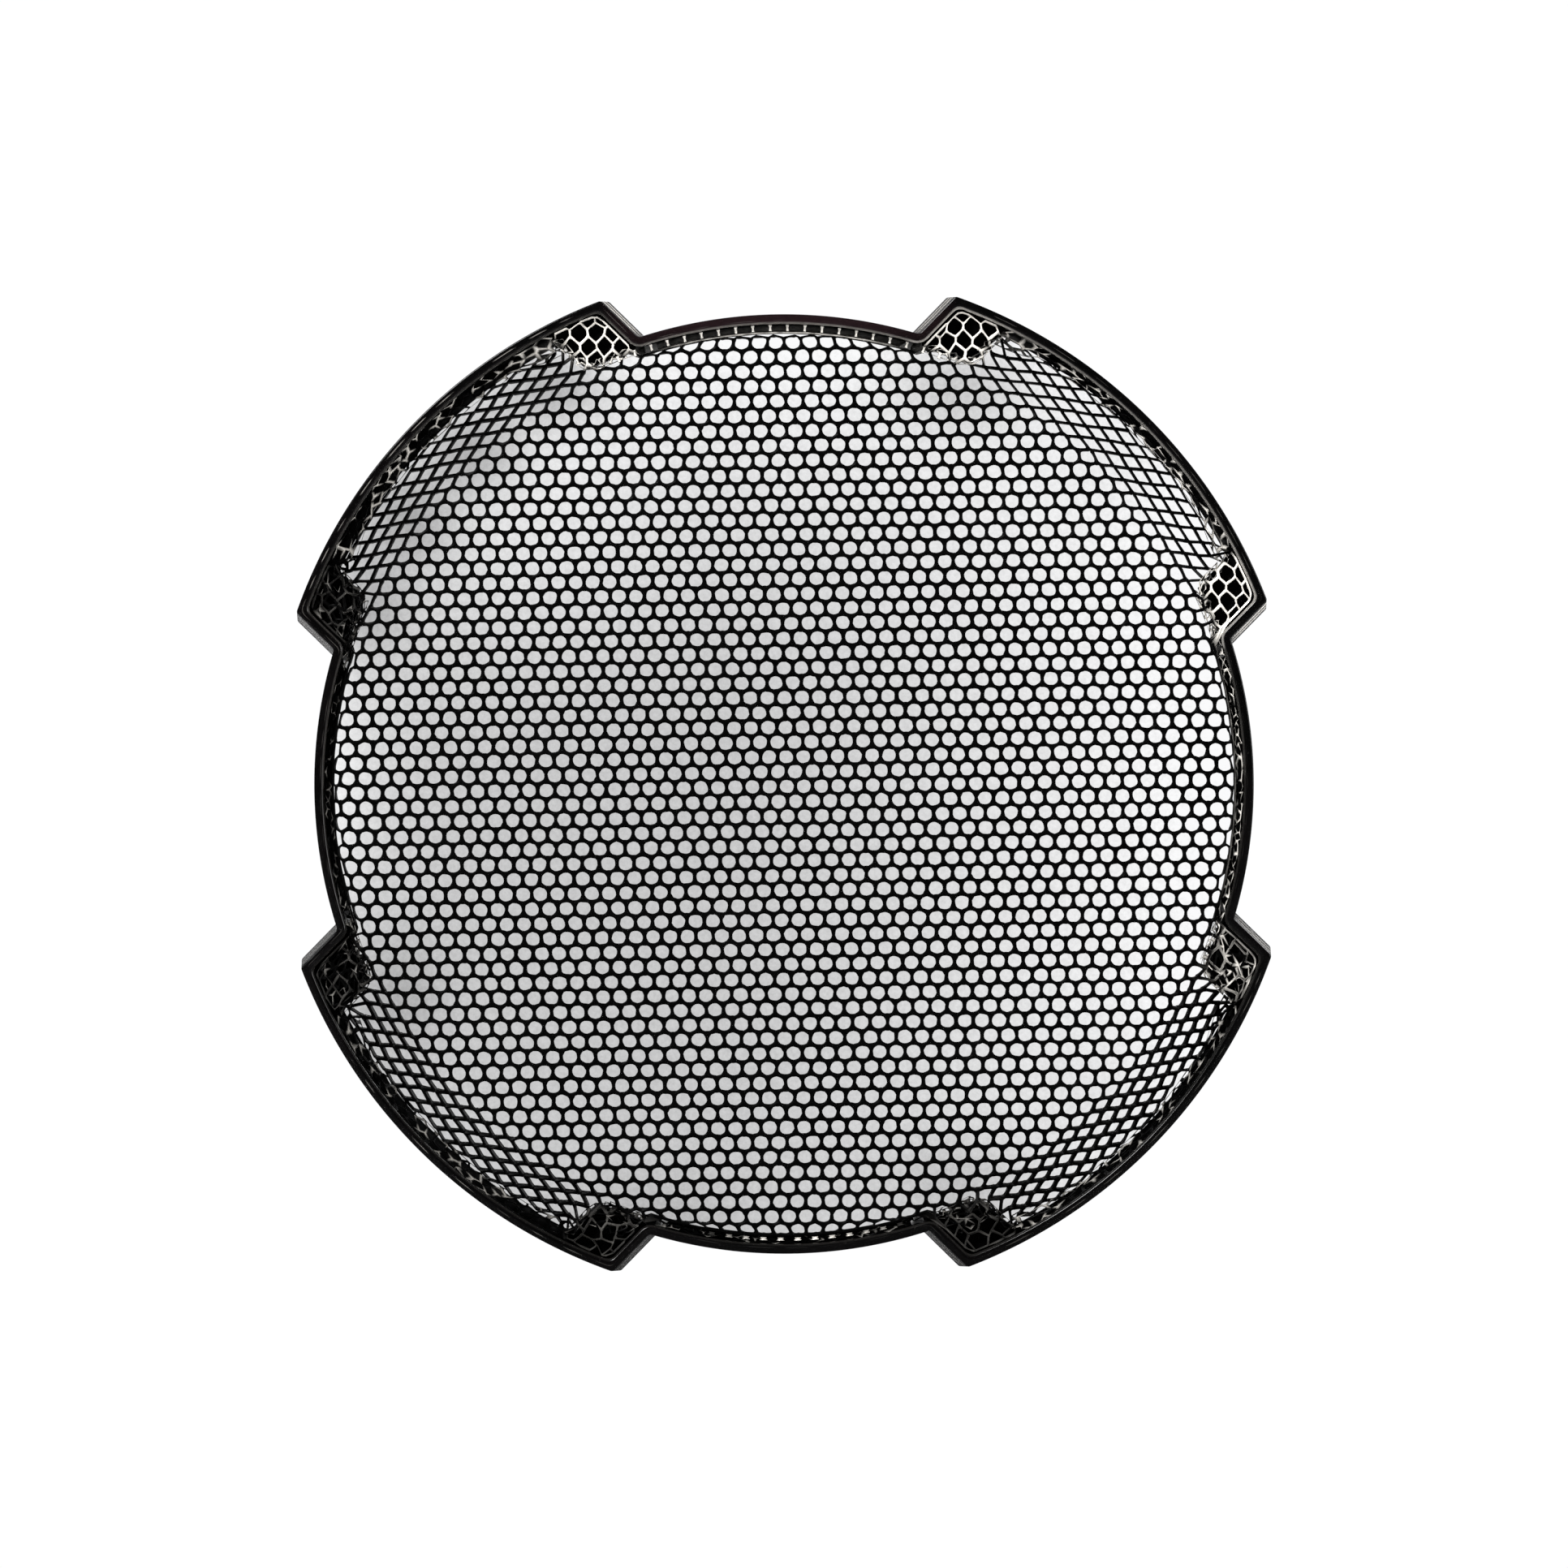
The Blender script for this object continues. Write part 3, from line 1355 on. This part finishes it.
for corner, x, z in POST_SPOTS:
    screw(corner, x, z)

# ------------------------------------------------------------------ rubber pads
PAD_SWEEP, PAD_STEPS = math.radians(17.0), 40  # half the arc it covers
PAD_IN_R, PAD_OUT_R = 93.45, 94.8
PAD_FRONT, PAD_SHOULDER, PAD_ROUND = 11.95, 12.75, 0.25


def pad(lug):
    """Curved strip on the back of the ring, rounded along its rear edges."""
    angles = [math.radians(a) for a in range(0, 91, 30)]
    section = [
        (
            PAD_OUT_R - PAD_ROUND + PAD_ROUND * math.sin(a),
            PAD_SHOULDER + PAD_ROUND * math.cos(a),
        )
        for a in angles
    ]
    section += [(PAD_OUT_R, PAD_FRONT), (PAD_IN_R, PAD_FRONT)]
    section += [
        (
            PAD_IN_R + PAD_ROUND - PAD_ROUND * math.cos(a),
            PAD_SHOULDER + PAD_ROUND * math.sin(a),
        )
        for a in angles
    ]
    verts = []
    for i in range(PAD_STEPS + 1):
        turn = PAD_SWEEP * (2.0 * i / PAD_STEPS - 1.0)
        for radius, depth in section:
            verts.append(at(*from_lug(lug, *polar(radius, turn)), depth))
    new_object(
        f"rim_pad_strip_{QUARTERS[lug]}",
        verts,
        skin(PAD_STEPS + 1, len(section)),
        PAD_RUBBER,
        sharp=40.0,
        replaces=f"rim_pad_{QUARTERS[lug]}",
    )


for lug in range(4):
    pad(lug)

# ------------------------------------------------------------------ corner floors
PLATE_END, PLATE_OUT_R = 39.1, 93.95  # outer edges
PLATE_TURN = 0.9  # cut off the plate's corners
# from front to back: scale of the outline, depth
PLATE_ROWS = ((0.985, 4.4), (0.995, 4.43), (1.0, 4.5), (1.0, 5.5), (0.985, 5.6))
# outline: across, radius
PLATE_CORNERS = (
    (FLOOR_ACROSS + 0.8, PLATE_OUT_R),
    (PLATE_END - PLATE_TURN, PLATE_OUT_R),
    (PLATE_END, PLATE_OUT_R - PLATE_TURN),
    (PLATE_END, FLOOR_R + PLATE_TURN),
    (PLATE_END - PLATE_TURN, FLOOR_R),
    (FLOOR_ACROSS + PLATE_TURN * 1.6, FLOOR_R),
    (FLOOR_ACROSS, FLOOR_R + PLATE_TURN * 1.6),
    (FLOOR_ACROSS, PLATE_OUT_R - 0.8),
)
PLATE_STEPS = 8  # points on each edge


def floor_plate(corner, lug, sign):
    """Thin plate closing the corner of a lug behind the sheet's level part."""
    ring = []
    for n, (across, radius) in enumerate(PLATE_CORNERS):
        next_across, next_radius = PLATE_CORNERS[(n + 1) % len(PLATE_CORNERS)]
        for i in range(PLATE_STEPS):
            part = i / PLATE_STEPS
            side = across + (next_across - across) * part
            reach = radius + (next_radius - radius) * part
            ring.append((math.sqrt(reach**2 - side**2), side))
    ring = np.array(ring)
    centre = ring.mean(axis=0)
    verts = []
    for scale, depth in PLATE_ROWS:
        for along, across in centre + (ring - centre) * scale:
            verts.append(at(*from_lug(lug, along, across * sign), depth))
    new_object(
        f"corner_floor_{corner}",
        verts,
        skin(len(PLATE_ROWS), len(ring)),
        PLATE_PAINT,
        bare=0.0,
        sharp=40.0,
        replaces=f"corner_plate_{corner}",
    )


for corner, lug, sign in CORNERS:
    floor_plate(corner, lug, sign)

# ------------------------------------------------------------------ floor and backdrop (m)
BACKDROP_Y, BACKDROP_TOP = 0.036, 1.6
FLOOR_Z = CAD_LO.z - 0.0004
PAPER_HALF = 3.0
# soft patches of light and shade seen through the grid (mm): centre, size, amount
POOLS = (
    ((-88.0, 2.0), (14.0, 28.0), 0.20),
    ((0.0, 90.0), (36.0, 9.0), 0.05),
    ((-46.0, 46.0), (22.0, 22.0), 0.045),
    ((-76.0, 34.0), (7.0, 9.0), -0.15),
    ((-68.5, 50.0), (8.5, 9.0), -0.20),
    ((-57.0, 63.0), (9.0, 8.5), -0.23),
    ((-42.0, 74.0), (10.0, 7.0), -0.24),
    ((-72.0, -38.0), (9.0, 11.0), -0.10),
    ((-27.0, -83.0), (14.0, 9.0), -0.10),
    ((33.0, -75.0), (14.0, 10.0), -0.11),
    ((34.0, 73.0), (13.0, 9.0), -0.17),
    ((62.0, 60.0), (14.0, 14.0), -0.05),
    ((60.0, -58.0), (13.0, 13.0), -0.035),
    ((-92.0, 34.0), (7.0, 12.0), 0.10),
    ((-66.0, 72.0), (7.0, 7.0), 0.16),
    ((-77.0, 0.0), (5.0, 34.0), -0.02),
)
TONE_BASE, TONE_RIGHT, TONE_ABOVE = 0.782, 0.235, 0.20  # base tone, gain to right and top
TONE_LOW, TONE_HIGH, TONE_GAMMA = 0.1, 0.985, 2.2
OUTSIDE_STRENGTH = 1.02  # pure white around the grid
SEE_THROUGH_PLANE = FRONT + 0.003  # where a line of sight is placed within the grid
OUTLINE_INSET = 0.9
GLOSSY_PASS = 0.85  # how much of a reflection looks through the paper


def grid_outline(mat, across_x, across_z):
    """1 where a line of sight passes inside the grid's outline."""
    squares = mat.plus(mat.times(across_x, across_x), mat.times(across_z, across_z))
    radius = mat.calc("SQRT", squares)
    abs_x, abs_z = mat.calc("ABSOLUTE", across_x), mat.calc("ABSOLUTE", across_z)
    half_root = 0.7071  # turns x and z to the lug's across direction
    side = mat.calc("ABSOLUTE", mat.times(mat.calc("SUBTRACT", abs_x, abs_z), half_root))
    in_lug = mat.calc("LESS_THAN", side, LUG_HALF - 1.0)
    edge = mat.mix_value(in_lug, RECESS_R - OUTLINE_INSET, LUG_R - OUTLINE_INSET)
    return mat.calc("LESS_THAN", radius, edge)


def pool(mat, across_x, across_z, centre, size, amount):
    """A soft round patch of light (or shade) on the backdrop."""
    off_x = mat.times(mat.calc("SUBTRACT", across_x, centre[0]), 1.0 / size[0])
    off_z = mat.times(mat.calc("SUBTRACT", across_z, centre[1]), 1.0 / size[1])
    square = mat.plus(mat.times(off_x, off_x), mat.times(off_z, off_z))
    return mat.times(mat.calc("EXPONENT", mat.times(square, -1.0)), amount)


def backdrop_tone(mat, across_x, across_z):
    """Brightness of the paper seen through the cells."""
    right = mat.calc("POWER", mat.ramp(across_x, low=-12.0, high=86.0), 1.3)
    above = mat.calc("POWER", mat.ramp(across_z, low=5.0, high=84.0), 1.7)
    fade = mat.ramp(across_x, low=-5.0, high=70.0, to_low=1.0, to_high=0.25)
    above = mat.times(above, fade)
    tone = mat.plus(mat.times(right, TONE_RIGHT), TONE_BASE)
    tone = mat.plus(tone, mat.times(above, TONE_ABOVE))
    for centre, size, amount in POOLS:
        tone = mat.plus(tone, pool(mat, across_x, across_z, centre, size, amount))
    grain = mat.noise(scale=1400.0, detail=3.0, rough=0.7)
    tone = mat.plus(tone, mat.ramp(grain, low=0.3, high=0.7, to_low=-0.035, to_high=0.035))
    tone = mat.calc("MINIMUM", mat.calc("MAXIMUM", tone, TONE_LOW), TONE_HIGH)
    return mat.calc("POWER", tone, TONE_GAMMA)


def white_paper():
    """White paper. It lets light and views through from behind and, where it stands
    upright, from the side. Seen straight from the front it is a lit backdrop: pure white
    outside the grid's outline, and inside it a soft shade with the key light's falloff,
    as the grid keeps light off the paper."""
    mat = Shading("white_paper")
    mat.feed(Base_Color=(0.90, 0.90, 0.905), Roughness=1.0, Specular_IOR_Level=0.0)
    clear = mat.node("ShaderNodeBsdfTransparent")
    geometry = mat.node("ShaderNodeNewGeometry").outputs
    path = mat.node("ShaderNodeLightPath").outputs
    camera_ray = path["Is Camera Ray"]

    # where the line of sight crosses the grid, in mm
    x, y, z = mat.split(geometry["Position"])
    sight_x, sight_y, sight_z = mat.split(geometry["Incoming"])
    reach = mat.calc(
        "DIVIDE",
        mat.calc("SUBTRACT", SEE_THROUGH_PLANE, y),
        mat.calc("MINIMUM", sight_y, -0.01),
    )
    across_x = mat.times(mat.plus(x, mat.times(sight_x, reach)), 1000.0)
    across_z = mat.times(mat.plus(z, mat.times(sight_z, reach)), 1000.0)
    inside = grid_outline(mat, across_x, across_z)
    tone = backdrop_tone(mat, across_x, across_z)
    strength = mat.mix_value(inside, OUTSIDE_STRENGTH, tone)
    lamp = mat.node("ShaderNodeEmission", Color=(0.992, 0.994, 1.0, 1.0))
    mat.put(lamp.inputs["Strength"], strength)

    # straight: how nearly the camera looks along y, by angles in radians
    straight = mat.ramp(mat.times(sight_y, -1.0), low=math.cos(0.30), high=math.cos(0.18))
    straight = mat.times(straight, camera_ray)
    # far: away from the grid the paper fades to plain white
    length = mat.node("ShaderNodeVectorMath", operation="LENGTH")
    mat.put(length.inputs[0], geometry["Position"])
    far = mat.ramp(length.outputs["Value"], low=0.098, high=0.135)
    far = mat.calc("MAXIMUM", far, mat.ramp(y, low=0.018, high=0.034))
    far = mat.times(far, camera_ray)
    plain = mat.node("ShaderNodeEmission")
    faded = mat.mix_shader(far, mat.principled.outputs[0], plain.outputs[0])
    front = mat.mix_shader(straight, faded, lamp.outputs[0])

    see_through = mat.calc("MAXIMUM", geometry["Backfacing"], path["Is Shadow Ray"])
    mirrored = mat.times(path["Is Glossy Ray"], GLOSSY_PASS)
    see_through = mat.calc("MAXIMUM", see_through, mirrored)
    # the upright sheet is only there for the view from the front
    upright = mat.calc("GREATER_THAN", z, FLOOR_Z + 0.0002)
    aside = mat.calc("SUBTRACT", camera_ray, straight)
    see_through = mat.calc("MAXIMUM", see_through, mat.times(upright, aside))
    surface = mat.mix_shader(see_through, front, clear.outputs[0])
    mat.put(mat.tree.nodes["Material Output"].inputs["Surface"], surface)
    return mat.material


PAPER = white_paper()


def paper(name, start, end):
    """Flat sheet across x between two (y, z) edges."""
    verts = [(x, y, z) for y, z in (start, end) for x in (-PAPER_HALF, PAPER_HALF)]
    mesh = bpy.data.meshes.new(name)
    mesh.from_pydata(verts, [], [(0, 1, 3, 2)])
    mesh.update()
    obj = bpy.data.objects.new(name, mesh)
    bpy.context.scene.collection.objects.link(obj)
    mesh.materials.append(PAPER)
    mesh.shade_smooth()


paper("paper_wall", (BACKDROP_Y, FLOOR_Z), (BACKDROP_Y, BACKDROP_TOP))
paper("paper_floor", (-PAPER_HALF, FLOOR_Z), (PAPER_HALF, FLOOR_Z))

# ------------------------------------------------------------------ light and camera
# disks aimed at the origin: name, place (m), diameter (m), power (W)
LIGHTS = (
    ("key_upper_left", (-0.75, -1.15, 0.95), 0.55, 42.0),
    ("fill_right", (1.15, -0.7, 0.25), 0.7, 14.0),
    ("back_left", (-0.7, 1.0, 1.2), 1.1, 11.0),
    ("back_right", (0.9, 1.1, 0.5), 0.8, 7.0),
)
WORLD_LIT, WORLD_SEEN = 0.05, 1.0  # white strength for the light, and for the camera
CAMERA_DISTANCE, VIEW_WIDTH = 1.5, 0.28899  # from the front face, and the width seen there
SENSOR_WIDTH = 36.0


def area(name, place, size, power):
    data = bpy.data.lights.new(name, "AREA")
    data.shape = "DISK"
    data.size = size
    data.energy = power
    obj = bpy.data.objects.new(name, data)
    bpy.context.scene.collection.objects.link(obj)
    obj.location = place
    obj.rotation_euler = (-Vector(place)).to_track_quat("-Z", "Y").to_euler()


def studio_world():
    """A dim white world that the camera sees as full white."""
    world = bpy.data.worlds.new("studio")
    bpy.context.scene.world = world
    world.use_nodes = True
    tree = world.node_tree
    lit = tree.nodes["Background"]
    seen = tree.nodes.new("ShaderNodeBackground")
    for background, strength in ((lit, WORLD_LIT), (seen, WORLD_SEEN)):
        background.inputs["Color"].default_value = (1.0, 1.0, 1.0, 1.0)
        background.inputs["Strength"].default_value = strength
    path = tree.nodes.new("ShaderNodeLightPath")
    pick = tree.nodes.new("ShaderNodeMixShader")
    tree.links.new(path.outputs["Is Camera Ray"], pick.inputs[0])
    tree.links.new(lit.outputs[0], pick.inputs[1])
    tree.links.new(seen.outputs[0], pick.inputs[2])
    tree.links.new(pick.outputs[0], tree.nodes["World Output"].inputs["Surface"])


def front_camera():
    data = bpy.data.cameras.new("camera")
    camera = bpy.data.objects.new("camera", data)
    bpy.context.scene.collection.objects.link(camera)
    camera.location = (0.0, FRONT - CAMERA_DISTANCE, 0.0)
    camera.rotation_euler = (math.pi / 2.0, ROLL, 0.0)
    data.sensor_width = SENSOR_WIDTH
    data.lens = SENSOR_WIDTH * CAMERA_DISTANCE / VIEW_WIDTH
    data.clip_start = 0.05
    data.clip_end = 20.0
    bpy.context.scene.camera = camera


for light in LIGHTS:
    area(*light)
studio_world()
view = bpy.context.scene.view_settings
view.view_transform = "Standard"
view.look = "None"
view.exposure = 0.0
view.gamma = 1.0
front_camera()

# ------------------------------------------------------------------ sizes for the record
bpy.context.view_layer.update()
